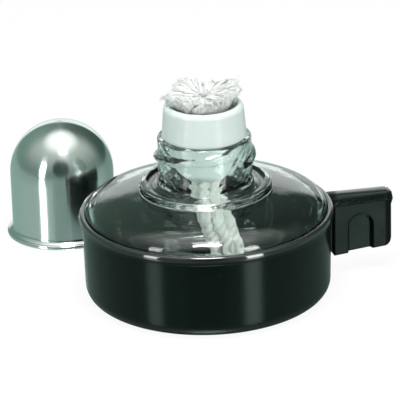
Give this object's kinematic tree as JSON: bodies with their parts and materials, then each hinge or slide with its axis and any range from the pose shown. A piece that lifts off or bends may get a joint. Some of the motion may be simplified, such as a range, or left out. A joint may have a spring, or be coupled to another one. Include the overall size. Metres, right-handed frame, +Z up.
{
  "type": "spirit lamp",
  "caption": "Laboratory spirit lamp: glass reservoir in a black holder with a side handle, porcelain wick holder, frayed cotton wick and a separate polished dome cap.",
  "frame": {"origin": "centre of the holder's flat base, on the lamp's axis, in the plane that the lamp and its cap stand on", "axes": "+Z up along the lamp's axis; +X to the right and +Y to the back as seen from the front, with the handle 15.5 degrees behind +X"},
  "size_m": [0.1604, 0.1417, 0.089],
  "materials": {
    "black_moulding": "polished black moulding",
    "black_grip": "satin black with a stippled grip",
    "clear_glass": "clear pressed glass",
    "white_porcelain": "glazed white",
    "cotton": "natural cotton yarn",
    "polished_chrome": "mirror polished",
    "liner_metal": "plain spun metal",
    "seal_rubber": "matt black",
    "screw_steel": "turned steel"
  },
  "bodies": {
    "holder": {"holder_cup": "black_moulding", "handle": "black_grip", "handle_screw_upper": "screw_steel", "handle_screw_lower": "screw_steel"},
    "reservoir": {"glass_reservoir": "clear_glass"},
    "wick_holder": {"wick_holder": "white_porcelain"},
    "wick": {"wick_yarn_1": "cotton", "wick_yarn_2": "cotton", "wick_yarn_3": "cotton", "wick_yarn_4": "cotton", "wick_yarn_5": "cotton", "wick_yarn_6": "cotton", "wick_yarn_7": "cotton", "wick_crown": "cotton"},
    "cap": {"cap_shell": "polished_chrome", "cap_thread_liner": "liner_metal", "cap_seal": "seal_rubber"}
  },
  "joints": [
    {"name": "reservoir_lift", "type": "slide", "parent": "holder", "child": "reservoir", "axis": [0, 0, 1], "range_m": [0, 0.045]},
    {"name": "wick_holder_lift", "type": "slide", "parent": "reservoir", "child": "wick_holder", "axis": [0, 0, 1], "range_m": [0, 0.065]},
    {"name": "wick_feed", "type": "slide", "parent": "wick_holder", "child": "wick", "axis": [0, 0, 1], "range_m": [0, 0.008]},
    {"name": "cap_lift", "type": "slide", "parent": "holder", "child": "cap", "axis": [0, 0, 1], "range_m": [0, 0.1]}
  ]
}
